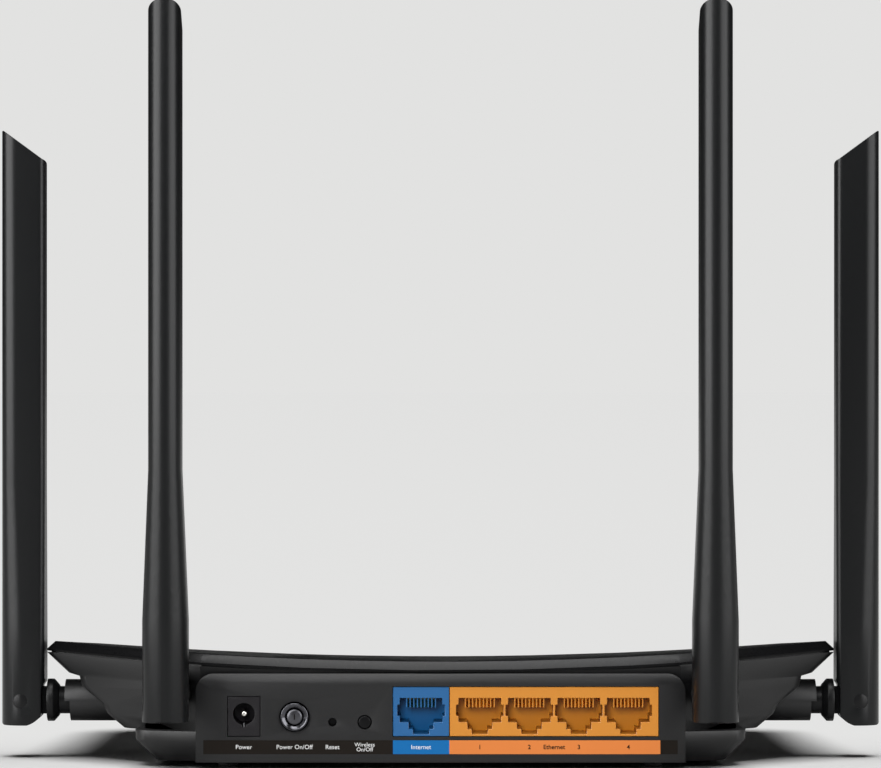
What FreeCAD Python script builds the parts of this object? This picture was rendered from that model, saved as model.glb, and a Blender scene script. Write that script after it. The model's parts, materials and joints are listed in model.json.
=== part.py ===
"""Wireless router with four folding antennas, as a parametric FreeCAD document (millimetres).

Frame: +Z up, the desk is z = 0, +Y points to the front edge with the status lights and the port
panel faces -Y.  The origin is the centre of the bounding box at desk level.  Every size is a cell
of the sheet Dims, and every sub-part is bound to those cells.
"""
import FreeCAD, Part
import math
import os

import Sketcher

DIMENSIONS = {
    # case, seen from above
    "panel_y": -62.85,        # outer face of the port panel
    "plate_back": 2.0,        # the cover's rear edge stands this far in front of the panel
    "rear_half": 68.0,        # half of the straight rear edge
    "wide_half": 115.0,       # half of the greatest case width
    "wing_round": 6.0,        # corner between a wing and a side
    "front_half": 109.0,      # half width beside the front corners
    "front_round": 14.0,
    "case_len": 140.0,        # from the panel to the front corners
    "front_bow": 1118.0,      # radius of the bowed front edge
    # dished top cover: lowest line and curvature at the rear edge, and ahead by case_len
    "dish_low": 30.4,
    "dish_ahead": 23.05,
    "dish_back_radius": 1060.0,
    "dish_front_radius": 1400.0,
    "dish_half": 118.0,
    "cover_wall": 1.9,
    "rim_deep": 3.0,
    "rim_wide": 2.6,
    "seam_gap": 0.05,
    "seam_deep": 0.4,
    "seam_wide": 1.2,
    "cover_chamfer": 2.4,
    # bottom shell
    "shell_wall": 2.3,
    "base_low": 1.6,
    "panel_half": 69.1,
    "panel_low": 2.1,
    "panel_top": 27.1,
    "panel_round": 5.0,
    "panel_deep": 30.0,
    "panel_wall": 2.0,
    "panel_lip": 2.0,
    # board and its ports
    "board_half": 66.0,
    "board_back": 2.6,
    "board_front": 118.0,
    "board_under": 7.8,
    "board_thick": 1.6,
    "jack_inset": 0.3,
    "jack_long": 15.7,
    "jack_low": 9.5,
    "jack_top": 23.4,
    "port_pitch": 13.97,
    "wan_x": -5.5,
    "wan_wide": 15.8,
    "lan_x": 11.1,
    "lan_wide": 58.9,
    "plug_wide": 12.0,
    "plug_low": 13.45,
    "plug_top": 20.3,
    "notch_half": 6.7,
    "notch_low": 15.2,
    "notch_top": 18.4,
    "latch_half": 3.5,
    "latch_drop": 1.95,
    "tab_half": 2.25,
    "tab_drop": 3.35,
    "contact_pitch": 1.02,
    "contact_wide": 0.5,
    "contact_long": 7.0,
    "plug_deep": 13.0,
    "fit_gap": 0.15,
    "power_x": -55.5,
    "power_z": 15.8,
    "power_wide": 9.1,
    "power_top": 20.7,
    "power_hole": 3.07,
    "switch_x": -41.2,
    "switch_z": 15.0,
    "switch_r_hole": 4.3,
    "ring_r": 3.9,
    "cap_r": 2.2,
    "reset_x": -30.5,
    "reset_z": 13.5,
    "reset_r_hole": 1.23,
    "radio_x": -21.4,
    "radio_z": 13.5,
    "radio_r_hole": 2.03,
    # port label strip
    "strip_half": 66.9,
    "strip_low": 4.5,
    "strip_tall": 3.9,
    "strip_thick": 0.2,
    # feet, vents and wall-mount keyholes
    "foot_x": 60.6,
    "foot_wide": 5.7,
    "foot_long": 13.0,
    "foot_back": 17.0,
    "foot_front": 116.0,
    "keyhole_x": 40.0,
    "keyhole_y": 34.0,
    # antennas, about the hinge pin; "out" points away from the case
    "side_pin_x": 122.45,
    "side_pin_y": 45.0,
    "side_pin_z": 16.5,
    "rear_pin_x": 76.9,
    "rear_pin_y": -13.0,
    "rear_pin_z": 21.7,
    "side_blade": 166.7,      # tip above the pin
    "rear_blade": 194.4,
    "blade_in": 7.0,
    "blade_out": 5.9,
    "blade_half": 4.6,
    "blade_foot_half": 6.4,
    "flare_low": 21.0,
    "flare_high": 63.3,
    "tip_slope": 35.5,
    "heel": 7.1,
    "heel_r": 7.35,
    "pin_r": 2.1,
    "pin_gap": 0.05,
    "tongue_r": 3.9,
    "tongue_half": 2.2,
    "flange_r": 6.2,
    "flange_face": 7.6,
    "flange_thick": 1.9,
    "shaft_r": 4.0,
    "boss_r": 6.05,
    "boss_face": 12.9,
    "bush_end": 25.0,
    "lead_r": 0.68,
}

# Levels of the bottom shell and of the space inside it, from the top down.  Each has its height, its
# inset at the sides, at the rear and at the front, and the angle of its wings.  Near-upright bands
# alternate with undercuts.
SHELL_LEVELS = [
    (31.6, -1.2, -0.5, 0.0, 40.0),
    (24.8, 6.6, 2.4, 0.3, 40.0),
    (24.0, 9.9, 3.0, 0.6, 40.0),
    (21.1, 10.6, 3.2, 1.0, 40.0),
    (16.2, 17.0, 5.0, 7.0, 40.0),
    (13.4, 18.5, 5.2, 9.0, 40.0),
    (9.6, 23.4, 7.0, 14.0, 40.0),
]
BASE_LEVELS = [
    (10.2, 27.7, 5.5, 16.0, 14.0),
    (7.3, 27.9, 5.7, 16.0, 14.0),
    (1.6, 33.6, 8.0, 20.0, 14.0),
]
SPACE_END = (11.7, 20.7, 6.0, 11.0, 40.0)
BASE_SPACE = [
    (12.5, 27.7, 12.0, 16.0, 14.0),
    (7.3, 27.9, 5.7, 16.0, 14.0),
    (3.6, 31.6, 7.2, 18.6, 14.0),
]

LEVELS = {"shell": SHELL_LEVELS, "base": BASE_LEVELS, "space": SHELL_LEVELS[:-1] + [SPACE_END],
          "cellar": BASE_SPACE, "cover": [(0.0, 0.0, 0.0, 0.0, 40.0)]}

LAN_PORTS = 4
HAIR = 0.001                  # a half-round's radius is this much over half its chord, to stay solvable
CONTACTS = 8
CONTACT_SLOPE = -24      # degrees about X

doc = FreeCAD.newDocument("wireless_router")
sheet = doc.addObject("Spreadsheet::Sheet", "Dims")
nodes = []


# ---------------------------------------------------------------- helpers

def fill_sheet():
    """Write every driving dimension, and the shell's levels, into the sheet as aliased cells."""
    rows = dict(DIMENSIONS)
    for family, levels in LEVELS.items():
        for number, level in enumerate(levels):
            for word, size in zip(("height", "side", "back", "front", "sweep"), level):
                rows[f"{family}{number}_{word}"] = size
    for row, (alias, number) in enumerate(rows.items(), start=1):
        sheet.set(f"A{row}", alias)
        sheet.set(f"B{row}", str(number))
        sheet.setAlias(f"B{row}", alias)
    doc.recompute()


def read(expression):
    """The number that an expression of sheet cells stands for."""
    result = sheet.evalExpression(expression.replace("Dims.", ""))
    return float(getattr(result, "Value", result))


def bind(item, **expressions):
    """Bind properties of an object to expressions; at=(x, y, z) binds its position."""
    at = expressions.pop("at", None)
    for name, expression in expressions.items():
        item.setExpression(name, expression)
    if at:
        for axis, expression in zip("xyz", at):
            item.setExpression(f"Placement.Base.{axis}", expression)
    return item


def turned(axis, degrees):
    return FreeCAD.Rotation(FreeCAD.Vector(*axis), degrees)


AXES = {"Z": turned((0, 0, 1), 0), "X": turned((0, 1, 0), 90), "Y": turned((1, 0, 0), -90)}


def box(x, y, z, size_x, size_y, size_z):
    """A box from its lowest corner and its three sizes, all as expressions."""
    item = doc.addObject("Part::Box", "box")
    return bind(item, Length=size_x, Width=size_y, Height=size_z, at=(x, y, z))


def cylinder(x, y, z, radius, length, axis="Z"):
    """A cylinder that starts at a point and runs along +X, +Y or +Z."""
    item = doc.addObject("Part::Cylinder", "cylinder")
    item.Placement = FreeCAD.Placement(FreeCAD.Vector(), AXES[axis])
    return bind(item, Radius=radius, Height=length, at=(x, y, z))


def cone(x, y, z, radius1, radius2, length, axis="Z"):
    item = doc.addObject("Part::Cone", "cone")
    item.Placement = FreeCAD.Placement(FreeCAD.Vector(), AXES[axis])
    return bind(item, Radius1=radius1, Radius2=radius2, Height=length, at=(x, y, z))


def join(items):
    if len(items) == 1:
        return items[0]
    item = doc.addObject("Part::MultiFuse", "join")
    item.Shapes = items
    return item


def cut(base, tools):
    item = doc.addObject("Part::Cut", "cut")
    item.Base = base
    item.Tool = join(tools)
    return item


def common(first, second):
    item = doc.addObject("Part::Common", "common")
    item.Base = first
    item.Tool = second
    return item


def group(items):
    """Several separate solids that share one node."""
    item = doc.addObject("Part::Compound", "group")
    item.Links = items
    return item


def node(name, item):
    """Name a finished sub-part, which also names its file."""
    item.Label = name
    nodes.append(item)
    return item


def draw(sketch, corners, arcs=None):
    """Close an outline through corners given as expressions; arcs maps an edge to its radius.

    The corners run anticlockwise.  A positive side bulges the arc outwards, a negative one inwards.
    """
    arcs = arcs or {}
    points = [FreeCAD.Vector(read(x), read(y), 0) for x, y in corners]
    count = len(points)
    for index, start in enumerate(points):
        end = points[(index + 1) % count]
        if index in arcs:
            radius, side = arcs[index]
            chord = end - start
            half = chord.Length / 2
            rise = read(radius) - math.sqrt(max(read(radius) ** 2 - half ** 2, 0))
            normal = FreeCAD.Vector(chord.y, -chord.x, 0).normalize()
            middle = (start + end) * 0.5 + normal * (rise * side)
            edge = Part.Arc(start, middle, end).toShape().Curve
            edge = Part.ArcOfCircle(Part.Circle(edge.Center, FreeCAD.Vector(0, 0, 1), edge.Radius),
                                    *arc_angles(edge.Center, start, end, side))
        else:
            edge = Part.LineSegment(start, end)
        sketch.addGeometry(edge, False)
    for index in range(count):
        first = end_of(index, arcs, False)
        second = end_of((index + 1) % count, arcs, True)
        sketch.addConstraint(Sketcher.Constraint("Coincident", index, first, (index + 1) % count, second))
    for index, (x, y) in enumerate(corners):
        start = end_of(index, arcs, True)
        for kind, expression in (("DistanceX", x), ("DistanceY", y)):
            number = sketch.addConstraint(
                Sketcher.Constraint(kind, -1, 1, index, start, read(expression)))
            sketch.setExpression(f"Constraints[{number}]", expression)
    for index, (radius, _) in arcs.items():
        number = sketch.addConstraint(Sketcher.Constraint("Radius", index, read(radius)))
        sketch.setExpression(f"Constraints[{number}]", radius)
    return sketch


def arc_angles(centre, start, end, side):
    """Start and end angles of an arc, anticlockwise when it bulges outwards."""
    first = math.atan2(start.y - centre.y, start.x - centre.x)
    second = math.atan2(end.y - centre.y, end.x - centre.x)
    if side < 0:
        first, second = second, first
    if second < first:
        second += 2 * math.pi
    return first, second


def end_of(index, arcs, start):
    """Sketcher's number for an edge's start or end; an inward arc runs the other way."""
    inward = index in arcs and arcs[index][1] < 0
    return (1 if start else 2) if not inward else (2 if start else 1)


PLANES = {"XY": FreeCAD.Rotation(), "XZ": turned((1, 0, 0), 90),
          "YZ": FreeCAD.Rotation(FreeCAD.Vector(0, 1, 0), FreeCAD.Vector(0, 0, 1), FreeCAD.Vector(1, 0, 0))}
NORMALS = {"XY": (0, 0, 1), "XZ": (0, -1, 0), "YZ": (1, 0, 0)}


def outline(plane, corners, arcs=None, at=("0", "0", "0")):
    """A free sketch on a plane through a point."""
    sketch = doc.addObject("Sketcher::SketchObject", "outline")
    sketch.Placement = FreeCAD.Placement(FreeCAD.Vector(), PLANES[plane])
    bind(sketch, at=at)
    return draw(sketch, corners, arcs)


def extrude(plane, corners, length, arcs=None, at=("0", "0", "0"), middle=False):
    """A solid from an outline, along its plane's normal."""
    item = doc.addObject("Part::Extrusion", "extrude")
    item.Base = outline(plane, corners, arcs, at)
    item.DirMode = "Custom"
    item.Dir = FreeCAD.Vector(*NORMALS[plane])
    item.Solid = True
    item.Symmetric = middle
    return bind(item, LengthFwd=length)


def loft(sections):
    item = doc.addObject("Part::Loft", "loft")
    item.Sections = sections
    item.Solid = True
    item.Ruled = True
    return item


def body(name, role="XY_Plane"):
    """A PartDesign body with one sketch on an origin plane."""
    item = doc.addObject("PartDesign::Body", "body")
    return node(name, item), body_sketch(item, role)


def body_sketch(item, role="XY_Plane"):
    sketch = item.newObject("Sketcher::SketchObject", "sketch")
    planes = [plane for plane in item.Origin.OriginFeatures if plane.Role == role]
    sketch.AttachmentSupport = [(planes[0], "")]
    sketch.MapMode = "FlatFace"
    return sketch


def feature(item, kind, sketch, length, **options):
    """A Pad or Pocket of a body's sketch."""
    result = item.newObject(f"PartDesign::{kind}", kind.lower())
    result.Profile = sketch
    for name, option in options.items():
        setattr(result, name, option)
    return bind(result, Length=length)


def rectangle(x, y, size_x, size_y):
    """Corners of a rectangle from its lowest corner."""
    return [(x, y), (f"{x} + {size_x}", y), (f"{x} + {size_x}", f"{y} + {size_y}"), (x, f"{y} + {size_y}")]


def circle(sketch, x, y, radius):
    """A bound circle in a sketch."""
    index = sketch.addGeometry(
        Part.Circle(FreeCAD.Vector(read(x), read(y), 0), FreeCAD.Vector(0, 0, 1), read(radius)), False)
    constraints = (("DistanceX", (-1, 1, index, 3), x), ("DistanceY", (-1, 1, index, 3), y),
                   ("Radius", (index,), radius))
    for kind, where, expression in constraints:
        number = sketch.addConstraint(Sketcher.Constraint(kind, *where, read(expression)))
        sketch.setExpression(f"Constraints[{number}]", expression)


# ---------------------------------------------------------------- case

def case_corners(level, wall):
    """Plan of the case at a level of the sheet, moved in by a wall's thickness."""
    sweep, middle_turn = f"Dims.{level}_sweep", f"(45 - Dims.{level}_sweep / 2)"
    rear_y = f"(Dims.panel_y + Dims.plate_back + Dims.{level}_back)"
    wing_x = f"(Dims.wide_half - Dims.{level}_side - ({wall}))"
    wing_y = (f"({rear_y} + (Dims.wide_half - Dims.{level}_side - Dims.rear_half) * tan({sweep})"
              f" + ({wall}) * tan{middle_turn})")
    reach = f"Dims.wing_round * tan{middle_turn}"
    nose_x = f"(Dims.front_half - Dims.{level}_side - ({wall}))"
    nose_y = f"(Dims.panel_y + Dims.case_len - Dims.{level}_front - ({wall}))"
    right = [
        (f"Dims.rear_half - ({wall}) * tan({sweep} / 2)", f"{rear_y} + ({wall})"),
        (f"{wing_x} - {reach} * cos({sweep})", f"{wing_y} - {reach} * sin({sweep})"),
        (wing_x, f"{wing_y} + {reach}"),
        (nose_x, f"{nose_y} - Dims.front_round"),
        (f"{nose_x} - Dims.front_round", nose_y),
    ]
    left = [(f"-({x})", y) for x, y in reversed(right)]
    return right + left


CASE_ARCS = {
    1: ("Dims.wing_round", 1), 3: ("Dims.front_round", 1), 4: ("Dims.front_bow", 1),
    5: ("Dims.front_round", 1), 7: ("Dims.wing_round", 1),
}


def case_loft(family, wall):
    """Solid through every level of a family, moved in by a wall's thickness."""
    sections = []
    for number in range(len(LEVELS[family])):
        level = f"{family}{number}"
        sections.append(outline("XY", case_corners(level, wall), CASE_ARCS,
                                at=("0", "0", f"Dims.{level}_height")))
    return loft(sections)


def case_column(inset):
    """The cover's plan as an upright column, for work near the seam."""
    return extrude("XY", case_corners("cover0", inset), "30", CASE_ARCS, at=("0", "0", "12"))


def dish(extra):
    """The space above the dished surface once it is lowered by extra.

    The surface is ruled between a tighter arc behind the case and a wider one ahead of it.
    """
    return loft([dish_section(extra, ahead) for ahead in (-0.02, 1.05)])


def dish_section(extra, ahead):
    """Upright section of a dish; ahead is 0 at the cover's rear edge and 1 case_len further on."""
    low = f"(Dims.dish_low + (Dims.dish_ahead - Dims.dish_low) * {ahead} - ({extra}))"
    radius = f"(Dims.dish_back_radius + (Dims.dish_front_radius - Dims.dish_back_radius) * {ahead})"
    rim = f"{low} + {radius} - sqrt({radius} ^ 2 - Dims.dish_half ^ 2)"
    half, high = "Dims.dish_half", "90"
    corners = [(f"-{half}", rim), (half, rim), (half, high), (f"-{half}", high)]
    return outline("XZ", corners, {0: (radius, 1)},
                   at=("0", f"Dims.panel_y + Dims.plate_back + Dims.case_len * {ahead}", "0"))


SCREW_POSTS = [("70", "66"), ("-70", "66"), ("70", "106"), ("-70", "106")]
POST_SPLIT = "16"
LIGHT_COUNT = 7


def light_x(number):
    return f"{(number - (LIGHT_COUNT - 1) / 2) * 9.0}"


def top_cover():
    """Dished plate with a shallow rim, screw posts and slots for the light guide."""
    plate = common(case_column("0"), dish("Dims.rim_deep"))
    plate = cut(plate, [dish("0")])
    plate = rim_chamfer(plate)
    hollow = cut(case_column("Dims.rim_wide"), [dish("Dims.cover_wall")])
    plate = cut(plate, [hollow])
    posts = [cylinder(x, f"Dims.panel_y + {y}", POST_SPLIT, "3.2", "14") for x, y in SCREW_POSTS]
    posts = cut(join(posts), [dish("Dims.cover_wall - 0.4")])
    cover = join([plate, posts])
    tools = [cylinder(x, f"Dims.panel_y + {y}", POST_SPLIT, "1.3", "7") for x, y in SCREW_POSTS]
    for number in range(LIGHT_COUNT):
        tools.append(box(f"{light_x(number)} - 1.7", "Dims.panel_y + 113.2", "15", "3.4", "1.6", "20"))
    return node("top_cover", cut(cover, tools))


def rim_chamfer(plate):
    """Chamfer the upper edge all round, which catches the light."""
    doc.recompute()
    item = doc.addObject("Part::Chamfer", "chamfer")
    item.Base = plate
    size = read("Dims.cover_chamfer")
    tolerance = 0.6
    picked = []
    for number, edge in enumerate(plate.Shape.Edges, start=1):
        centre = edge.CenterOfMass
        if centre.z > surface_height(centre.x, centre.y) - tolerance:
            picked.append((number, size, size))
    item.Edges = picked
    return item


def surface_height(x, y):
    """Height of the dish over a point."""
    ahead = (y - read("Dims.panel_y + Dims.plate_back")) / read("Dims.case_len")
    low = read("Dims.dish_low") + read("Dims.dish_ahead - Dims.dish_low") * ahead
    radius = read("Dims.dish_back_radius") + read("Dims.dish_front_radius - Dims.dish_back_radius") * ahead
    return low + x * x / (2 * radius)


def antenna_sites():
    """Each antenna: name, swivel axis, sign of the side, blade height."""
    return [("rear_left", "Y", -1, "Dims.rear_blade"), ("rear_right", "Y", 1, "Dims.rear_blade"),
            ("side_left", "X", -1, "Dims.side_blade"), ("side_right", "X", 1, "Dims.side_blade")]


def shell_outside():
    """Tiered wings, narrow base, port panel and the antenna bosses as one solid."""
    solids = [case_loft("shell", "0"), case_loft("base", "0"), port_panel()]
    for _, axis, side, _ in antenna_sites():
        solids.append(boss(axis, side, "Dims.boss_face", "Dims.boss_r", "26"))
    return join(solids)


def port_panel():
    """Upright block behind the ports, with round upper corners and a chamfered lip."""
    half, turn = "Dims.panel_half", "Dims.panel_round"
    corners = [(f"-{half}", "Dims.panel_low"), (half, "Dims.panel_low"), (half, f"Dims.panel_top - {turn}"),
               (f"{half} - {turn}", "Dims.panel_top"), (f"-({half} - {turn})", "Dims.panel_top"),
               (f"-{half}", f"Dims.panel_top - {turn}")]
    block = extrude("XZ", corners, "Dims.panel_deep", {2: (turn, 1), 4: (turn, 1)},
                    at=("0", "Dims.panel_y + Dims.panel_deep", "0"))
    lip = "Dims.panel_lip"
    wedge = [("Dims.panel_y - 1", f"Dims.panel_top - {lip}"), ("Dims.panel_y", f"Dims.panel_top - {lip}"),
             (f"Dims.panel_y + {lip} / 2", "Dims.panel_top + 0.01"),
             ("Dims.panel_y - 1", "Dims.panel_top + 0.01")]
    bevel = extrude("YZ", wedge, "2 * Dims.panel_half + 2", at=("-Dims.panel_half - 1", "0", "0"))
    return cut(block, [bevel])


def boss(axis, side, start, radius, length):
    """A cylinder on an antenna's swivel axis, start inside the pin and running into the case."""
    if axis == "X":
        low = f"Dims.side_pin_x - ({start}) - {length}"
        x = low if side > 0 else f"-(Dims.side_pin_x - ({start}))"
        return cylinder(x, "Dims.panel_y + Dims.side_pin_y", "Dims.side_pin_z", radius, length, "X")
    x = "Dims.rear_pin_x" if side > 0 else "-Dims.rear_pin_x"
    return cylinder(x, f"Dims.panel_y + Dims.rear_pin_y + {start}", "Dims.rear_pin_z", radius, length, "Y")


def shell_inside():
    """Everything hollow inside the bottom shell."""
    ports = box("-(Dims.panel_half - Dims.panel_wall)", "Dims.panel_y + Dims.panel_wall", "Dims.panel_low + 2",
                "2 * (Dims.panel_half - Dims.panel_wall)", "Dims.panel_deep + 3", "19.5")
    return [case_loft("space", "Dims.shell_wall"), case_loft("cellar", "Dims.shell_wall"), ports]


def port_holes():
    """Openings of the port panel."""
    gap, start, through = "Dims.fit_gap", "Dims.panel_y - 1", "Dims.panel_wall + 2"
    low = f"Dims.jack_low - {gap}"
    tall = f"Dims.jack_top - Dims.jack_low + 2 * {gap}"
    holes = [
        box(f"Dims.wan_x - Dims.wan_wide / 2 - {gap}", start, low, f"Dims.wan_wide + 0.1 + {gap}",
            through, tall),
        box(f"{lan_left()} - {gap}", start, low, f"Dims.lan_wide + 2 * {gap}", through, tall),
        box(f"Dims.power_x - Dims.power_wide / 2 - {gap}", start, low, f"Dims.power_wide + 2 * {gap}",
            through, f"Dims.power_top - Dims.jack_low + 2 * {gap}"),
        cylinder("Dims.switch_x", start, "Dims.switch_z", "Dims.switch_r_hole", through, "Y"),
        cylinder("Dims.reset_x", start, "Dims.reset_z", "Dims.reset_r_hole", through, "Y"),
        cylinder("Dims.radio_x", start, "Dims.radio_z", "Dims.radio_r_hole", through, "Y"),
    ]
    return holes


def lan_left():
    return "Dims.lan_x + 1.5 * Dims.port_pitch - Dims.lan_wide / 2"


BOARD_SCREWS = [("62", "26"), ("-62", "26"), ("62", "98"), ("-62", "98")]


def floor_posts():
    """Posts that carry the board and take the case screws."""
    floor = "Dims.base_low + 0.5"
    posts = [cylinder(x, f"Dims.panel_y + {y}", floor, "3", f"Dims.board_under - ({floor})")
             for x, y in BOARD_SCREWS]
    posts += [cylinder(x, f"Dims.panel_y + {y}", floor, "3.6", f"{POST_SPLIT} - 0.05 - ({floor})")
              for x, y in SCREW_POSTS]
    return posts


def floor_holes():
    """Screw holes, foot pockets, vent slots and wall-mount keyholes in the floor."""
    tools = []
    for x, y in BOARD_SCREWS:
        tools.append(cylinder(x, f"Dims.panel_y + {y}", "4", "1.1", "5"))
    for x, y in SCREW_POSTS:
        tools.append(cylinder(x, f"Dims.panel_y + {y}", "0", "1.75", "17"))
        tools.append(cylinder(x, f"Dims.panel_y + {y}", "0", "3.1", "9.5"))
    for row in range(2):
        for column in range(13):
            x, y = (column - 6) * 7.5 - 1.1, 48 + row * 28
            tools.append(box(f"{x}", f"Dims.panel_y + {y}", "0", "2.2", "22", "5"))
    for side in (-1, 1):
        x, y = f"{side} * Dims.keyhole_x", "Dims.panel_y + Dims.keyhole_y"
        tools.append(cylinder(x, y, "0", "4.2", "5"))
        tools.append(box(f"{x} - 2.2", y, "0", "4.4", "8.5", "5"))
        tools.append(cylinder(x, f"{y} + 8.5", "0", "2.2", "5"))
        for depth in ("Dims.foot_back", "Dims.foot_front"):
            tools.append(foot(f"{side} * Dims.foot_x", depth, "0.1", "0", "Dims.base_low + 0.6"))
    return tools


def foot(x, depth, grow, low, height):
    """An oblong with round ends, lying across the case's length."""
    half = f"(Dims.foot_wide / 2 + {grow})"
    span = "(Dims.foot_long / 2 - Dims.foot_wide / 2)"
    corners = [(f"{x} + {half}", f"Dims.panel_y + {depth} - {span}"),
               (f"{x} + {half}", f"Dims.panel_y + {depth} + {span}"),
               (f"{x} - {half}", f"Dims.panel_y + {depth} + {span}"),
               (f"{x} - {half}", f"Dims.panel_y + {depth} - {span}")]
    arc = (f"{half} + {HAIR}", 1)
    return extrude("XY", corners, height, {1: arc, 3: arc}, at=("0", "0", low))


def bottom_shell():
    """Tiered lower shell: closed floor, port panel, antenna bushes and posts."""
    shell = cut(shell_outside(), [dish("Dims.rim_deep + Dims.seam_gap")])
    groove = cut(dish("Dims.rim_deep + Dims.seam_deep"), [case_column("Dims.seam_wide")])
    shell = cut(shell, [groove])
    shell = cut(shell, shell_inside())
    tubes = [boss(axis, side, "Dims.boss_face + 0.5", "Dims.boss_r - 0.2", "16")
             for _, axis, side, _ in antenna_sites()]
    shell = join([shell] + floor_posts() + tubes)
    tools = port_holes() + floor_holes()
    for _, axis, side, _ in antenna_sites():
        tools.append(boss(axis, side, "Dims.boss_face - 1", "Dims.shaft_r + 0.05", "30"))
        tools.append(boss(axis, side, "Dims.bush_end", "5.1", "20"))
        tools.append(boss_step(axis, side))
    return node("bottom_shell", cut(shell, tools))


def boss_step(axis, side):
    """The lower half of each boss starts a little further in."""
    radius, step = "(Dims.boss_r + 0.5)", "1.5"
    if axis == "X":
        face = "(Dims.side_pin_x - Dims.boss_face)"
        x = f"{face} - {step}" if side > 0 else f"-{face}"
        return box(x, f"Dims.panel_y + Dims.side_pin_y - {radius}", f"Dims.side_pin_z - {radius}",
                   step, f"2 * {radius}", radius)
    x = f"{side} * Dims.rear_pin_x - {radius}"
    return box(x, "Dims.panel_y + Dims.rear_pin_y + Dims.boss_face", f"Dims.rear_pin_z - {radius}",
               f"2 * {radius}", step, radius)


def rubber_feet():
    feet = []
    for side in (-1, 1):
        for depth in ("Dims.foot_back", "Dims.foot_front"):
            pad = foot(f"{side} * Dims.foot_x", depth, "0", "0", "Dims.base_low + 0.55")
            feet.append(pad)
    return node("rubber_feet", group(feet))


def case_screws():
    screws = []
    for x, y in SCREW_POSTS:
        y = f"Dims.panel_y + {y}"
        head = cylinder(x, y, "7.3", "2.7", "2.1")
        shank = cylinder(x, y, "9.3", "1.3", "12")
        cross = join([box(f"{x} - 1.6", f"{y} - 0.35", "6.9", "3.2", "0.7", "1.4"),
                      box(f"{x} - 0.35", f"{y} - 1.6", "6.9", "0.7", "3.2", "1.4")])
        screws.append(cut(join([head, shank]), [cross]))
    return node("case_screws", group(screws))


def port_label_strip():
    strip, sketch = body("port_label_strip", "XZ_Plane")
    draw(sketch, rectangle("-Dims.strip_half", "Dims.strip_low", "2 * Dims.strip_half", "Dims.strip_tall"))
    feature(strip, "Pad", sketch, "Dims.strip_thick")
    bind(strip, at=("0", "Dims.panel_y", "0"))


def rating_label():
    label, sketch = body("rating_label")
    draw(sketch, rectangle("-28", "Dims.panel_y + 104.5", "56", "14"))
    feature(label, "Pad", sketch, "0.15", Reversed=True)
    bind(label, at=("0", "0", "Dims.base_low"))


# ---------------------------------------------------------------- board

def main_board():
    """Printed circuit board with its screw holes."""
    board, sketch = body("main_board")
    draw(sketch, rectangle("-Dims.board_half", "Dims.panel_y + Dims.board_back", "2 * Dims.board_half",
                           "Dims.board_front - Dims.board_back"))
    feature(board, "Pad", sketch, "Dims.board_thick")
    holes = body_sketch(board)
    for x, y in BOARD_SCREWS:
        circle(holes, x, f"Dims.panel_y + {y}", "1.5")
    feature(board, "Pocket", holes, "2 * Dims.board_thick + 1", Midplane=True)
    bind(board, at=("0", "0", "Dims.board_under"))


BOARD_TOP = "(Dims.board_under + Dims.board_thick)"


def on_board(x, y, size_x, size_y, size_z):
    """A box centred on a point of the board's upper face."""
    return box(f"{x} - {size_x} / 2", f"Dims.panel_y + {y} - {size_y} / 2", BOARD_TOP,
               f"{size_x}", f"{size_y}", f"{size_z}")


def board_screws():
    screws = []
    for x, y in BOARD_SCREWS:
        y = f"Dims.panel_y + {y}"
        head = cylinder(x, y, BOARD_TOP, "2.5", "1.7")
        shank = cylinder(x, y, "4.6", "1.1", f"{BOARD_TOP} - 4.6")
        slot = join([box(f"{x} - 1.5", f"{y} - 0.3", f"{BOARD_TOP} + 1", "3", "0.6", "1"),
                     box(f"{x} - 0.3", f"{y} - 1.5", f"{BOARD_TOP} + 1", "0.6", "3", "1")])
        screws.append(cut(join([head, shank]), [slot]))
    return node("board_screws", group(screws))


def chips():
    """Processor, memory and radio chips, shields, transformers and the power parts."""
    node("processor", on_board(8, 62, 16, 16, 1.4))
    node("memory_chips", group([on_board(-16, 58, 12, 8, 1.1), on_board(-16, 72, 8, 6, 1.6)]))
    node("lan_transformers", group([on_board(18, 28, 17, 10, 5.5), on_board(43, 28, 17, 10, 5.5)]))
    cans = (("-56", "40", "3.15", "9"), ("-48", "40", "3.15", "9"), ("-44", "52", "2.5", "8"),
            ("-38", "30", "4", "10"))
    node("capacitors", group([cylinder(x, f"Dims.panel_y + {y}", BOARD_TOP, radius, tall)
                              for x, y, radius, tall in cans]))
    node("inductors", group([on_board(-26, 40, 6, 6, 3.2), on_board(-26, 30, 6, 6, 3.2)]))
    node("crystals", group([on_board(-4, 78, 5, 3.2, 1.1), on_board(22, 78, 5, 3.2, 1.1)]))


def heat_sink():
    """Finned block on the processor: one pad, and a groove repeated across it."""
    sink, sketch = body("heat_sink")
    draw(sketch, rectangle("-2", "Dims.panel_y + 52", "20", "20"))
    feature(sink, "Pad", sketch, "6.4")
    groove = body_sketch(sink)
    draw(groove, rectangle("-0.6", "Dims.panel_y + 51", "1.3", "22"))
    pocket = feature(sink, "Pocket", groove, "4.6", Reversed=True)
    bind(groove, **{"AttachmentOffset.Base.z": "1.8"})
    doc.recompute()
    pattern = sink.newObject("PartDesign::LinearPattern", "fins")
    pattern.Originals = [pocket]
    pattern.Direction = (groove, ["H_Axis"])
    pattern.Length = 16.2
    pattern.Occurrences = 7
    sink.Tip = pattern
    bind(sink, at=("0", "0", f"{BOARD_TOP} + 1.4"))


def rf_shields():
    """Two pressed cans over the radio sections."""
    cans = []
    for x in (-42, 42):
        outer = on_board(x, 84, 34, 24, 3)
        inner = on_board(x, 84, 33.4, 23.4, 2.7)
        vents = [on_board(x + 6 * step, 84, 2, 12, 4) for step in (-2, -1, 0, 1, 2)]
        cans.append(cut(outer, [inner] + vents))
    return node("rf_shields", group(cans))


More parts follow.
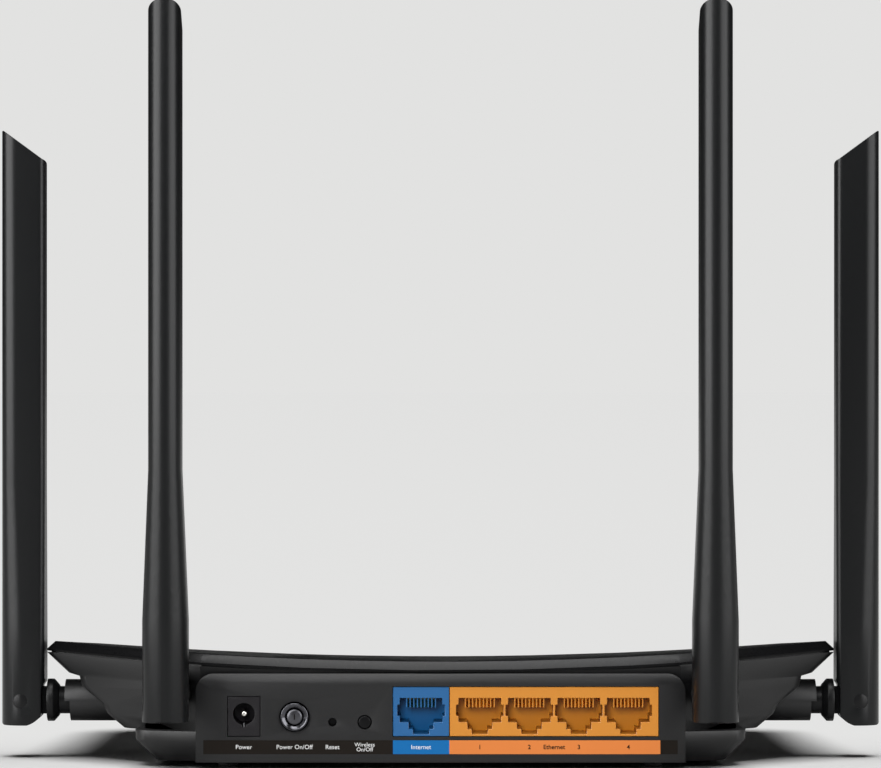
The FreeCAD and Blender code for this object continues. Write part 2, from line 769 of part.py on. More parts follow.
def lights():
    """Status lights and the guide that carries their light to the cover."""
    chips_row, pipes = [], []
    for number in range(LIGHT_COUNT):
        x = light_x(number)
        chips_row.append(box(f"{x} - 0.8", "Dims.panel_y + 113.6", BOARD_TOP, "1.6", "0.8", "0.7"))
        pipes.append(box(f"{x} - 1.6", "Dims.panel_y + 113.3", f"{BOARD_TOP} + 1", "3.2", "1.4", "18"))
    node("status_lights", group(chips_row))
    bar = box(f"{light_x(0)} - 1.6", "Dims.panel_y + 113.3", "15", "57.2", "1.4", "2")
    legs = [box(f"{side} * 29.4 - 1.2", "Dims.panel_y + 113.3", BOARD_TOP, "2.4", "1.4", "7.6")
            for side in (-1, 1)]
    return node("light_guide", cut(join(pipes + [bar] + legs), [dish("0.02")]))


# ---------------------------------------------------------------- ports and buttons

def plug_space(x):
    """The stepped space for a network plug: body, two latch steps and side notches."""
    front = "Dims.panel_y + Dims.jack_inset - 0.5"
    deep = "Dims.plug_deep + 0.5"

    def slice_of(half, low, top):
        return box(f"{x} - {half}", front, low, f"2 * {half}", deep, f"{top} - ({low})")

    return [slice_of("Dims.plug_wide / 2", "Dims.plug_low", "Dims.plug_top"),
            slice_of("Dims.notch_half", "Dims.notch_low", "Dims.notch_top"),
            slice_of("Dims.latch_half", "Dims.plug_low - Dims.latch_drop", "Dims.plug_low + 0.1"),
            slice_of("Dims.tab_half", "Dims.plug_low - Dims.tab_drop", "Dims.plug_low - Dims.latch_drop + 0.1")]


def jack_housing(name, left, wide, ports):
    block = box(left, "Dims.panel_y + Dims.jack_inset", "Dims.jack_low", wide, "Dims.jack_long",
                "Dims.jack_top - Dims.jack_low")
    spaces = [space for x in ports for space in plug_space(x)]
    return node(name, cut(block, spaces))


def jack_contacts(name, ports):
    """Gilded springs that slope down from the mouth under the roof of each port."""
    pieces = []
    for x in ports:
        for number in range(CONTACTS):
            spring = doc.addObject("Part::Box", "spring")
            spring.Placement = FreeCAD.Placement(FreeCAD.Vector(), turned((1, 0, 0), CONTACT_SLOPE))
            offset = number - (CONTACTS - 1) / 2
            bind(spring, Length="Dims.contact_wide", Width="Dims.contact_long", Height="0.25",
                 at=(f"{x} + {offset} * Dims.contact_pitch - Dims.contact_wide / 2", "Dims.panel_y + 1.1",
                     "Dims.plug_top - 0.3"))
            pieces.append(spring)
    return node(name, group(pieces))


def network_jacks():
    lan = [f"(Dims.lan_x + {number} * Dims.port_pitch)" for number in range(LAN_PORTS)]
    jack_housing("wan_jack_housing", "Dims.wan_x - Dims.wan_wide / 2", "Dims.wan_wide", ["Dims.wan_x"])
    jack_contacts("wan_jack_contacts", ["Dims.wan_x"])
    jack_housing("lan_jack_housing", lan_left(), "Dims.lan_wide", lan)
    jack_contacts("lan_jack_contacts", lan)


def power_jack():
    """Barrel inlet: housing, centre pin and the sleeve spring under it."""
    x, z, front = "Dims.power_x", "Dims.power_z", "Dims.panel_y + Dims.jack_inset"
    block = box(f"{x} - Dims.power_wide / 2", front, "Dims.jack_low", "Dims.power_wide", "13.7",
                "Dims.power_top - Dims.jack_low")
    hole = cylinder(x, f"{front} - 0.5", z, "Dims.power_hole", "10", "Y")
    groove = box(f"{x} - 0.5", f"{front} - 0.5", f"{z} - Dims.power_hole - 0.8", "1", "9", "1.4")
    post = cylinder(x, f"{front} + 9", z, "1.05", "2", "Y")
    node("power_jack_housing", cut(block, [hole, groove, post]))
    tip = doc.addObject("Part::Sphere", "tip")
    bind(tip, Radius="1.05", at=(x, f"{front} + 1.6", z))
    node("power_jack_pin", join([tip, cylinder(x, f"{front} + 1.6", z, "1.05", "9.3", "Y")]))
    node("power_jack_spring", box(f"{x} - 0.2", f"{front} + 0.4", f"{z} - Dims.power_hole - 0.75",
                                  "0.4", "7.5", "1.2"))


def press_button(x, z, radius, out, flange, stem, reach):
    """A round button: face, retaining flange behind the panel, and stem; lengths from the panel."""
    face = cylinder(x, f"Dims.panel_y - {out}", z, radius, f"{out} + 3", "Y")
    collar = cylinder(x, "Dims.panel_y + Dims.panel_wall + 0.05", z, flange, "0.95", "Y")
    rod = cylinder(x, "Dims.panel_y + 2.9", z, stem, f"{reach} - 2.9", "Y")
    return [face, collar, rod]


def switch_block(name, x, z, back, long, half, top, bore):
    """A switch on the board with the bore that its button's stem enters."""
    block = box(f"{x} - {half}", f"Dims.panel_y + {back}", BOARD_TOP, f"2 * {half}", long,
                f"{top} - {BOARD_TOP}")
    hole = cylinder(x, f"Dims.panel_y + {back} - 0.5", z, bore, f"{long} - 0.7", "Y")
    return node(name, cut(block, [hole]))


def buttons():
    """Latching power button with a bright ring, recessed reset plunger, wireless button."""
    x, z = "Dims.switch_x", "Dims.switch_z"
    ring = join(press_button(x, z, "Dims.ring_r", "1.2", "4.9", "1.5", "10.5"))
    well = cylinder(x, "Dims.panel_y - 2", z, "Dims.cap_r + 0.3", "2.8", "Y")
    bevel = cone(x, "Dims.panel_y - 1.3", z, "3.6", "Dims.cap_r + 0.3", "0.9", "Y")
    node("power_button_ring", cut(ring, [well, bevel]))
    cap = cylinder(x, "Dims.panel_y - 0.9", z, "Dims.cap_r", "1.7", "Y")
    mark = box(f"{x} - 0.2", "Dims.panel_y - 1.1", f"{z} - 0.2", "0.4", "0.4", "1.6")
    node("power_button_cap", cut(cap, [mark]))
    switch_block("power_switch", x, z, "8.6", "6.5", "4.2", "19.5", "1.6")

    x, z = "Dims.reset_x", "Dims.reset_z"
    node("reset_plunger", join([cylinder(x, "Dims.panel_y + 2.4", z, "0.9", "3", "Y"),
                                cylinder(x, "Dims.panel_y + 3.2", z, "1.6", "0.6", "Y")]))
    switch_block("reset_switch", x, z, "4.6", "4.5", "3", "16.6", "1")

    x, z = "Dims.radio_x", "Dims.radio_z"
    node("wireless_button", join(press_button(x, z, "1.75", "0.4", "2.6", "0.9", "6.2")))
    switch_block("wireless_switch", x, z, "4.6", "4.5", "3", "16.6", "1")


# ---------------------------------------------------------------- antennas

def place_antenna(item, axis, side):
    """Move a sub-part from the hinge pin's own frame (+X out of the case) to its place."""
    if axis == "X":
        item.Placement = FreeCAD.Placement(FreeCAD.Vector(), turned((0, 0, 1), 0 if side > 0 else 180))
        at = (f"{side} * Dims.side_pin_x", "Dims.panel_y + Dims.side_pin_y", "Dims.side_pin_z")
    else:
        item.Placement = FreeCAD.Placement(FreeCAD.Vector(), turned((0, 0, 1), -90))
        at = (f"{side} * Dims.rear_pin_x", "Dims.panel_y + Dims.rear_pin_y", "Dims.rear_pin_z")
    return bind(item, at=at)


def blade_section(height, half, wall):
    """Blade section: round on the outer side, softly cornered on the inner side."""
    inner, outer, width = f"(Dims.blade_in - {wall})", f"(Dims.blade_out - {wall})", f"({half} - {wall})"
    soft = "1.8"
    corners = [(f"{outer} - {width}", f"-{width}"), (f"{outer} - {width}", width),
               (f"-({inner} - {soft})", width), (f"-{inner}", f"{width} - {soft}"),
               (f"-{inner}", f"-({width} - {soft})"), (f"-({inner} - {soft})", f"-{width}")]
    arcs = {0: (f"{width} + {HAIR}", 1), 2: (soft, 1), 4: (soft, 1)}
    return outline("XY", corners, arcs, at=("0", "0", height))


def blade_side(tip):
    """Side view of the blade: slanted tip, and a heel that is round about the pin."""
    inner, outer, heel = "Dims.blade_in", "Dims.blade_out", "Dims.heel"
    back = "(Dims.blade_in - 1)"
    heel_x = "sqrt(Dims.heel_r ^ 2 - Dims.heel ^ 2)"
    heel_z = f"sqrt(Dims.heel_r ^ 2 - {back} ^ 2)"
    slant = f"({tip} - ({inner} + {outer}) * tan(Dims.tip_slope))"
    corners = [(f"-{heel_x}", f"-{heel}"), (f"{outer} - 1.2", f"-{heel}"), (outer, f"-{heel} + 1.2"),
               (outer, f"{tip} - 0.4"), (f"{outer} - 0.6", f"{tip} - 0.3"),
               (f"-{inner} + 1.4", f"{slant} + 0.9"), (f"-{inner}", f"{slant} - 1.2"), (f"-{inner}", "5.4"), (f"-{back}", "4"),
               (f"-{back}", f"-{heel_z}")]
    return corners, {1: ("1.2", 1), 5: ("2", 1), 9: ("Dims.heel_r", 1)}


def antenna_blade(name, tip):
    """Hollow blade with the slot that the collar's tongue turns in."""
    heights = [("-12", "Dims.blade_foot_half"), ("Dims.flare_low", "Dims.blade_foot_half"),
               ("Dims.flare_high", "Dims.blade_half"), (f"{tip} + 2", "Dims.blade_half")]
    skin = loft([blade_section(height, half, "0") for height, half in heights])
    corners, arcs = blade_side(tip)
    side = extrude("XZ", corners, "16", arcs, middle=True)
    blade = common(skin, side)
    room = loft([blade_section("9", "Dims.blade_foot_half", "1.7"),
                 blade_section("Dims.flare_low", "Dims.blade_foot_half", "1.7"),
                 blade_section("Dims.flare_high", "Dims.blade_half", "1.5"),
                 blade_section(f"{tip} - 14", "Dims.blade_half", "1.5")])
    reach = "(Dims.tongue_r + 0.4)"
    slot = extrude("XZ", [("-9", "-9"), (reach, "-9"), (reach, "0"), ("0", reach), ("-9", reach)],
                   "2 * Dims.tongue_half + 0.4", {2: (reach, 1)}, middle=True)
    hole = cylinder("0", "-10", "0", "Dims.pin_r", "20", "Y")
    duct = cylinder("0", "0", "3", "1.3", "8")
    return node(f"antenna_blade_{name}", cut(blade, [room, slot, hole, duct]))


def antenna_collar(name):
    """Swivel collar: tongue, flange, cone, shaft and the lip that keeps it in the bush."""
    tongue = extrude("XZ", [("-Dims.flange_face - 0.5", "-Dims.tongue_r"), ("0", "-Dims.tongue_r"),
                            ("0", "Dims.tongue_r"), ("-Dims.flange_face - 0.5", "Dims.tongue_r")],
                     "2 * Dims.tongue_half", {1: (f"Dims.tongue_r + {HAIR}", 1)}, middle=True)
    back = "(Dims.flange_face + Dims.flange_thick)"
    parts = [tongue,
             cylinder(f"-{back}", "0", "0", "Dims.flange_r", "Dims.flange_thick", "X"),
             cone(f"-{back} - 1.6", "0", "0", "Dims.shaft_r + 0.4", "Dims.flange_r", "1.6", "X"),
             cylinder("-Dims.bush_end - 2", "0", "0", "Dims.shaft_r", f"Dims.bush_end + 2 - {back}", "X"),
             cylinder("-Dims.bush_end - 2", "0", "0", "Dims.shaft_r + 0.8", "1.7", "X")]
    tools = [cylinder("0", "-8", "0", "Dims.pin_r + Dims.pin_gap", "16", "Y"),
             cylinder("-Dims.bush_end - 3", "0", "0", "1.3", "Dims.bush_end - 3.5", "X")]
    return node(f"antenna_collar_{name}", cut(join(parts), tools))


def antenna_inside(name, tip):
    """Sleeve dipole in the blade."""
    sleeve = cylinder("-0.8", "0", f"{tip} - 108", "2.1", "34")
    rod = cylinder("-0.8", "0", f"{tip} - 74.5", "0.6", "52")
    return node(f"antenna_element_{name}", join([sleeve, rod]))


def hinge_pin(name):
    """Pin across the blade's foot, its ends just under the blade's skin."""
    rod = cylinder("0", "-Dims.blade_foot_half", "0", "Dims.pin_r", "2 * Dims.blade_foot_half", "Y")
    skin = loft([blade_section(height, "Dims.blade_foot_half", "0.06") for height in ("-5", "5")])
    return node(f"hinge_pin_{name}", common(rod, skin))


def antennas():
    for name, axis, side, tip in antenna_sites():
        pieces = [antenna_collar(name), antenna_blade(name, tip), antenna_inside(name, tip), hinge_pin(name)]
        for item in pieces:
            place_antenna(item, axis, side)


# ---------------------------------------------------------------- antenna leads

def leads():
    """Coaxial leads from the collars to the sockets on the board, with their plugs."""
    back = read("Dims.panel_y")
    top = read(BOARD_TOP)
    rear_x, rear_z = read("Dims.rear_pin_x"), read("Dims.rear_pin_z")
    side_x, side_y, side_z = read("Dims.side_pin_x"), read("Dims.side_pin_y"), read("Dims.side_pin_z")
    end = read("Dims.bush_end")
    rear_start = read("Dims.rear_pin_y") + end
    rear = [(rear_x, rear_start - 3, rear_z), (rear_x, rear_start + 17, rear_z),
            (rear_x - 4.5, rear_start + 31, 17.0), (rear_x - 13.0, rear_start + 40, top + 3.4),
            (rear_x - 21.1, rear_start + 43, top + 2.1)]
    side = [(side_x - end + 3, side_y, side_z), (side_x - end - 10, side_y, side_z),
            (side_x - end - 20, side_y + 7, 14.4), (side_x - end - 30, side_y + 15, top + 3.2),
            (side_x - end - 41.7, side_y + 18.5, top + 2.1)]
    sockets, plugs = [], []
    for name, route in (("rear", rear), ("side", side)):
        for hand, sign in (("left", -1), ("right", 1)):
            points = [FreeCAD.Vector(sign * x, back + y, z) for x, y, z in route]
            item = doc.addObject("Part::Feature", "lead")
            item.Shape = tube(points, read("Dims.lead_r"))
            node(f"antenna_lead_{name}_{hand}", item)
            x, y, _ = route[-1]
            x, y = f"{sign * (x - 1.9)}", f"Dims.panel_y + {y}"
            sockets.append(cylinder(x, y, BOARD_TOP, "1.2", "1"))
            plugs.append(cylinder(x, y, f"{BOARD_TOP} + 1", "1.75", "1.9"))
    node("antenna_sockets", group(sockets))
    node("antenna_plugs", group(plugs))


def tube(points, radius):
    """A round tube along straight runs joined by tangent arcs."""
    edges, start = [], points[0]
    for before, corner, after in zip(points, points[1:], points[2:]):
        back, ahead = (before - corner), (after - corner)
        reach = 0.45 * min(back.Length, ahead.Length)
        half_turn = (math.pi - back.getAngle(ahead)) / 2
        back.normalize()
        ahead.normalize()
        first, last = corner + back * reach, corner + ahead * reach
        bend = reach / math.tan(half_turn)
        print(f"lead bend radius {bend:.1f}")
        middle_way = (back + ahead).normalize()
        middle = corner + middle_way * (math.hypot(bend, reach) - bend)
        edges += [Part.LineSegment(start, first).toShape(), Part.Arc(first, middle, last).toShape()]
        start = last
    edges.append(Part.LineSegment(start, points[-1]).toShape())
    path = Part.Wire(edges)
    ring = Part.Wire(Part.Circle(points[0], points[1] - points[0], radius).toShape())
    solid = path.makePipeShell([ring], True, False)
    print(f"lead volume {solid.Volume:.1f}, section times length {math.pi * radius ** 2 * path.Length:.1f}")
    return solid


# ---------------------------------------------------------------- build, check and write

def check():
    """Stop if any object failed, or a sub-part's shape is null or invalid."""
    for item in doc.Objects:
        if "Invalid" in item.State or "Error" in item.State:
            raise RuntimeError(f"{item.Name} ({item.Label}) failed: {item.State}")
    for item in nodes:
        if item.Shape.isNull() or not item.Shape.isValid() or not item.Shape.Solids:
            raise RuntimeError(f"{item.Label} has no valid solid")


def main():
    fill_sheet()
    top_cover()
    bottom_shell()
    rubber_feet()
    case_screws()
    port_label_strip()
    rating_label()
    main_board()
    board_screws()
    chips()
    heat_sink()
    rf_shields()
    lights()
    network_jacks()
    power_jack()
    buttons()
    antennas()
    leads()
    doc.recompute()
    check()
    os.makedirs("parts", exist_ok=True)
    for item in nodes:
        item.Shape.exportStep(f"parts/{item.Label}.step")
        box_of = item.Shape.BoundBox
        print(f"{item.Label}: {len(item.Shape.Solids)} solids, {item.Shape.Volume:.1f} mm3, "
              f"x {box_of.XMin:.2f} {box_of.XMax:.2f}, y {box_of.YMin:.2f} {box_of.YMax:.2f}, "
              f"z {box_of.ZMin:.2f} {box_of.ZMax:.2f}")


main()
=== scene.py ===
"""Looks of a four-antenna wireless router: plastics, printed strip, ports, buttons and board."""
import json
import logging
import math
from dataclasses import dataclass
from enum import Enum

import bmesh
import bpy
from mathutils import Matrix, Vector

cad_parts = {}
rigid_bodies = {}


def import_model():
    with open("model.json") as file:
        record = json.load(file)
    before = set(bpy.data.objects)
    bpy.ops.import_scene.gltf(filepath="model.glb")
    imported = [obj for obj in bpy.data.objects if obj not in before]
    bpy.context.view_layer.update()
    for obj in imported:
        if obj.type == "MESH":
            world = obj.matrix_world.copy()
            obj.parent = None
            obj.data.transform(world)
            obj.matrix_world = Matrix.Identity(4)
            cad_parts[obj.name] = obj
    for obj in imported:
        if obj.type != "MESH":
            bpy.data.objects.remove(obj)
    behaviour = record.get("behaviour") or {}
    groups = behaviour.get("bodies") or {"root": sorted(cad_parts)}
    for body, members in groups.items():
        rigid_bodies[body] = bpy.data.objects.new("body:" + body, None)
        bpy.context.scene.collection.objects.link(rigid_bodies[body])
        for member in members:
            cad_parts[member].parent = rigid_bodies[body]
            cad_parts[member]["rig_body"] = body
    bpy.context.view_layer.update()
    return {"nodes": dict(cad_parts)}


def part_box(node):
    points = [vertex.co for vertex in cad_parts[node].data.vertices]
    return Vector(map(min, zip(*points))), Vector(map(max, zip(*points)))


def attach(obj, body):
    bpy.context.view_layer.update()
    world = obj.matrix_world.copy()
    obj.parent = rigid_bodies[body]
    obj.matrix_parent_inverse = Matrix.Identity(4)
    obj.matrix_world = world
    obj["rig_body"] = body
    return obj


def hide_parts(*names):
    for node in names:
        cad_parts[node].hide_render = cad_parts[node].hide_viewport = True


MM = 0.001
LOG = logging.getLogger("router")


# ---------------------------------------------------------------- finishes

def linear(code: str) -> tuple[float, float, float, float]:
    """Turn an sRGB hex colour into linear RGBA.

    Args:
        code: six hex digits, with or without a hash.

    Returns:
        The linear colour with an alpha of 1.
    """
    code = code.lstrip("#")
    channels = [int(code[index:index + 2], 16) / 255 for index in (0, 2, 4)]
    curve = [c / 12.92 if c <= 0.04045 else ((c + 0.055) / 1.055) ** 2.4 for c in channels]
    return (*curve, 1.0)


def add_node(tree: bpy.types.NodeTree, kind: str, inputs: dict | None = None, **settings: object) -> bpy.types.Node:
    """Add a shader node.

    Args:
        tree: the material's node tree.
        kind: the node's type name.
        inputs: socket name or number mapped to a value, or to another node's output to link.
        settings: properties of the node itself.

    Returns:
        The new node.
    """
    node = tree.nodes.new(kind)
    for name, setting in settings.items():
        setattr(node, name, setting)
    for name, value in (inputs or {}).items():
        if isinstance(value, bpy.types.NodeSocket):
            tree.links.new(value, node.inputs[name])
        else:
            node.inputs[name].default_value = value
    return node


def fresh_material(name: str) -> tuple[bpy.types.Material, bpy.types.NodeTree, bpy.types.Node, bpy.types.NodeSocket]:
    """Start a material with an empty principled surface and coordinates in millimetres.

    Args:
        name: the material's name.

    Returns:
        The material, its tree, the surface shader and the millimetre coordinates.
    """
    material = bpy.data.materials.new(name)
    material.use_nodes = True
    tree = material.node_tree
    tree.nodes.clear()
    output = add_node(tree, "ShaderNodeOutputMaterial")
    surface = add_node(tree, "ShaderNodeBsdfPrincipled")
    tree.links.new(surface.outputs["BSDF"], output.inputs["Surface"])
    place = add_node(tree, "ShaderNodeTexCoord")
    millimetres = add_node(tree, "ShaderNodeVectorMath", {0: place.outputs["Object"], 3: 1 / MM}, operation="SCALE")
    return material, tree, surface, millimetres.outputs["Vector"]


@dataclass(frozen=True)
class MouldedPlastic:
    """Injection-moulded ABS or PBT: an even body colour, a fine spark-eroded grain, slow changes of gloss."""

    name: str
    colour: str
    shade: str
    roughness: float = 0.45
    grain: float = 0.6          # millimetres; coarser than the real 0.1 mm so that it shows
    relief: float = 0.01        # millimetres
    ior: float = 1.53
    specular: float = 0.5       # lower where a fine moulded texture scatters the gloss

    def make(self) -> bpy.types.Material:
        """Build the material, or return it if it is built already."""
        if self.name in bpy.data.materials:
            return bpy.data.materials[self.name]
        material, tree, surface, place = fresh_material(self.name)
        slow = add_node(tree, "ShaderNodeTexNoise", {"Vector": place, "Scale": 1 / 38, "Detail": 2.0})
        fine = add_node(tree, "ShaderNodeTexNoise",
                        {"Vector": place, "Scale": 1 / self.grain, "Detail": 3.0, "Roughness": 0.6})
        tint = add_node(tree, "ShaderNodeMixRGB", {"Fac": slow.outputs["Fac"], "Color1": linear(self.colour),
                                                   "Color2": linear(self.shade)})
        gloss = add_node(tree, "ShaderNodeMapRange", {"Value": fine.outputs["Fac"], "From Min": 0.3, "From Max": 0.7,
                                                      "To Min": self.roughness - 0.04,
                                                      "To Max": self.roughness + 0.04})
        bump = add_node(tree, "ShaderNodeBump", {"Height": fine.outputs["Fac"], "Distance": self.relief * MM,
                                                 "Strength": 1.0})
        tree.links.new(tint.outputs["Color"], surface.inputs["Base Color"])
        tree.links.new(gloss.outputs["Result"], surface.inputs["Roughness"])
        tree.links.new(bump.outputs["Normal"], surface.inputs["Normal"])
        surface.inputs["IOR"].default_value = self.ior
        surface.inputs["Specular IOR Level"].default_value = self.specular
        return material


@dataclass(frozen=True)
class PlatedMetal:
    """Plated or drawn metal: its own colour in the reflection, fine tool marks along one axis."""

    name: str
    colour: str
    roughness: float = 0.3
    stretch: tuple[float, float, float] = (1.0, 1.0, 1.0)   # marks per millimetre along each axis

    def make(self) -> bpy.types.Material:
        """Build the material, or return it if it is built already."""
        if self.name in bpy.data.materials:
            return bpy.data.materials[self.name]
        material, tree, surface, place = fresh_material(self.name)
        aimed = add_node(tree, "ShaderNodeMapping", {"Vector": place, "Scale": self.stretch})
        marks = add_node(tree, "ShaderNodeTexNoise", {"Vector": aimed.outputs["Vector"], "Scale": 1.0, "Detail": 4.0})
        gloss = add_node(tree, "ShaderNodeMapRange", {"Value": marks.outputs["Fac"], "From Min": 0.3, "From Max": 0.7,
                                                      "To Min": self.roughness * 0.8,
                                                      "To Max": self.roughness * 1.25})
        bump = add_node(tree, "ShaderNodeBump", {"Height": marks.outputs["Fac"], "Distance": 0.006 * MM,
                                                 "Strength": 1.0})
        tree.links.new(gloss.outputs["Result"], surface.inputs["Roughness"])
        tree.links.new(bump.outputs["Normal"], surface.inputs["Normal"])
        surface.inputs["Base Color"].default_value = linear(self.colour)
        surface.inputs["Metallic"].default_value = 1.0
        return material


@dataclass(frozen=True)
class SolderMask:
    """Green solder mask over copper: tracks show through as paler, slightly raised lines."""

    name: str = "green_solder_mask"

    def make(self) -> bpy.types.Material:
        """Build the material, or return it if it is built already."""
        if self.name in bpy.data.materials:
            return bpy.data.materials[self.name]
        material, tree, surface, place = fresh_material(self.name)
        cells = add_node(tree, "ShaderNodeTexBrick", {"Vector": place, "Scale": 0.35, "Mortar Size": 0.12,
                                                      "Color1": (0, 0, 0, 1), "Color2": (0, 0, 0, 1),
                                                      "Mortar": (1, 1, 1, 1)})
        tint = add_node(tree, "ShaderNodeMixRGB", {"Fac": cells.outputs["Color"], "Color1": linear("0b3d22"),
                                                   "Color2": linear("1c6a3c")})
        bump = add_node(tree, "ShaderNodeBump", {"Height": cells.outputs["Color"], "Distance": 0.03 * MM})
        tree.links.new(tint.outputs["Color"], surface.inputs["Base Color"])
        tree.links.new(bump.outputs["Normal"], surface.inputs["Normal"])
        surface.inputs["Roughness"].default_value = 0.3
        surface.inputs["IOR"].default_value = 1.55
        return material


@dataclass(frozen=True)
class ClearMoulding:
    """Clear acrylic light guide: smooth, faintly milky."""

    name: str = "clear_acrylic"

    def make(self) -> bpy.types.Material:
        """Build the material, or return it if it is built already."""
        if self.name in bpy.data.materials:
            return bpy.data.materials[self.name]
        material, tree, surface, place = fresh_material(self.name)
        haze = add_node(tree, "ShaderNodeTexNoise", {"Vector": place, "Scale": 0.8})
        gloss = add_node(tree, "ShaderNodeMapRange", {"Value": haze.outputs["Fac"], "To Min": 0.12, "To Max": 0.25})
        tree.links.new(gloss.outputs["Result"], surface.inputs["Roughness"])
        surface.inputs["Base Color"].default_value = linear("c9d2d6")
        surface.inputs["Transmission Weight"].default_value = 0.6
        surface.inputs["IOR"].default_value = 1.49
        return material


class Finish(Enum):
    """Every finish of the router."""

    # ABS moulded in a finely etched tool: an even satin black that takes a soft line of light on each edge.
    COVER = MouldedPlastic("satin_black_abs_cover", "0d0d0e", "0b0b0c", 0.30, 0.8, 0.006, 1.53, 0.13)
    # ABS moulded in a spark-eroded tool: a duller black, with a fine grain that spreads every reflection.
    SHELL = MouldedPlastic("textured_black_abs_shell", "101011", "0d0d0e", 0.45, 0.6, 0.010, 1.53, 0.38)
    # ABS moulded in a stoned tool: satin black, long soft bands of light down the round sides.
    BLADE = MouldedPlastic("satin_black_abs_antenna", "0f1011", "0c0d0e", 0.34, 0.7, 0.006, 1.53, 0.22)
    # ABS moulded in a stoned tool, a little duller than the blades.
    COLLAR = MouldedPlastic("black_abs_collar", "0e0e0f", "0b0b0c", 0.38, 0.6, 0.008, 1.53, 0.22)
    # Silicone rubber pressed in a blasted tool: matt, hardly any reflection.
    RUBBER = MouldedPlastic("black_silicone_rubber", "161617", "1b1b1c", 0.75, 0.4, 0.02, 1.41)
    # Polyester film printed from behind: flat brown-black under a faintly matt face.
    FILM_DARK = MouldedPlastic("printed_film_black", "15100b", "130e0a", 0.55, 0.5, 0.003, 1.5, 0.12)
    # The same film printed with an even process blue.
    FILM_BLUE = MouldedPlastic("printed_film_blue", "00609e", "005d9a", 0.55, 0.5, 0.003, 1.5, 0.2)
    # The same film printed with an even light orange.
    FILM_ORANGE = MouldedPlastic("printed_film_orange", "cc7739", "ca7537", 0.55, 0.5, 0.003, 1.5, 0.2)
    # Screen-printed white ink: flat and slightly chalky.
    INK_WHITE = MouldedPlastic("white_printing_ink", "dedede", "d6d6d6", 0.55, 0.4, 0.003)
    # Screen-printed black ink: flat, with no gloss of its own.
    INK_BLACK = MouldedPlastic("black_printing_ink", "0c0806", "0a0705", 0.6, 0.4, 0.003, 1.5, 0.1)
    # Coated polyester label, left blank: pale and smooth.
    LABEL = MouldedPlastic("blank_polyester_label", "c8c8c4", "c2c2be", 0.4, 0.5, 0.003)
    # PBT moulded in a plain tool: even blue with a low waxy gloss.
    PBT_BLUE = MouldedPlastic("blue_pbt_jack", "19578b", "185588", 0.42, 0.5, 0.006, 1.57, 0.35)
    # PBT moulded in a plain tool: even orange with a low waxy gloss.
    PBT_ORANGE = MouldedPlastic("orange_pbt_jack", "c17d27", "be7a25", 0.42, 0.5, 0.006, 1.57, 0.35)
    # Glass-filled PBT: charcoal rather than black, dry gloss.
    PBT_BLACK = MouldedPlastic("black_pbt_inlet", "151316", "121013", 0.45, 0.5, 0.01, 1.57, 0.25)
    # ABS moulded smooth: its own black, set a touch darker than the case as painted shade, because little light gets
    # to it.
    BUTTON = MouldedPlastic("black_abs_button", "0c0c0d", "0a0a0b", 0.35, 0.5, 0.004, 1.53, 0.12)
    # Epoxy moulding compound: matt dark grey with a sandy grain.
    CHIP = MouldedPlastic("black_epoxy_package", "1c1d1f", "18191b", 0.6, 0.3, 0.01, 1.55)
    # Pressed and fired ferrite: matt grey with a coarse grain.
    FERRITE = MouldedPlastic("grey_ferrite", "4a4b4e", "424346", 0.6, 0.3, 0.02, 1.6)
    # Extruded PVC: smooth black with a soft sheen along its length.
    JACKET = MouldedPlastic("black_pvc_jacket", "151516", "19191a", 0.45, 0.5, 0.01, 1.5)
    # Cast clear epoxy over a pale chip: milky yellow and glossy.
    LENS = MouldedPlastic("clear_led_epoxy", "d7dcc0", "e0e4cc", 0.2, 0.5, 0.003, 1.5)
    # Decorative chrome over ABS, tinted dark: sharp bright ring on its bevel.
    CHROME = PlatedMetal("dark_chromed_abs", "545458", 0.2, (1.0, 1.0, 1.0))
    # The same chrome over a satin tool: a soft grey sheen.
    CAP = PlatedMetal("satin_chromed_abs", "57575b", 0.34, (1.0, 1.0, 1.0))
    # Turned and nickel plated: bright, with fine rings from the lathe.
    NICKEL = PlatedMetal("nickel_plate", "d8d6d0", 0.18, (3.0, 0.3, 3.0))
    # Rolled spring steel: dull grey with fine lines along the strip.
    SPRING = PlatedMetal("spring_steel", "6f6f72", 0.4, (3.0, 0.3, 3.0))
    # Stamped spring with a thin gold flash: warm, with lines along the strip.
    GOLD = PlatedMetal("gilded_spring", "e2b85a", 0.26, (4.0, 0.4, 0.4))
    # Drawn brass: warm yellow with long drawing lines.
    BRASS = PlatedMetal("drawn_brass", "c9a85a", 0.32, (2.0, 2.0, 0.2))
    # Zinc-plated steel: pale bluish grey, slightly cloudy.
    ZINC = PlatedMetal("zinc_plated_steel", "9a9ca0", 0.36, (1.5, 1.5, 1.5))
    # Tinned steel sheet: pale grey with rolling lines.
    TIN = PlatedMetal("tin_plated_can", "b9bab6", 0.34, (0.3, 2.0, 2.0))
    # Extruded aluminium: light grey with lines along the fins.
    ALUMINIUM = PlatedMetal("extruded_aluminium", "b4b7bb", 0.38, (3.0, 0.2, 3.0))
    # Liquid solder mask cured over copper: glossy green, paler where a track lies under it.
    MASK = SolderMask()
    # Acrylic moulded in a polished tool: clear, with a faint milky edge.
    CLEAR = ClearMoulding()


# ---------------------------------------------------------------- mesh helpers

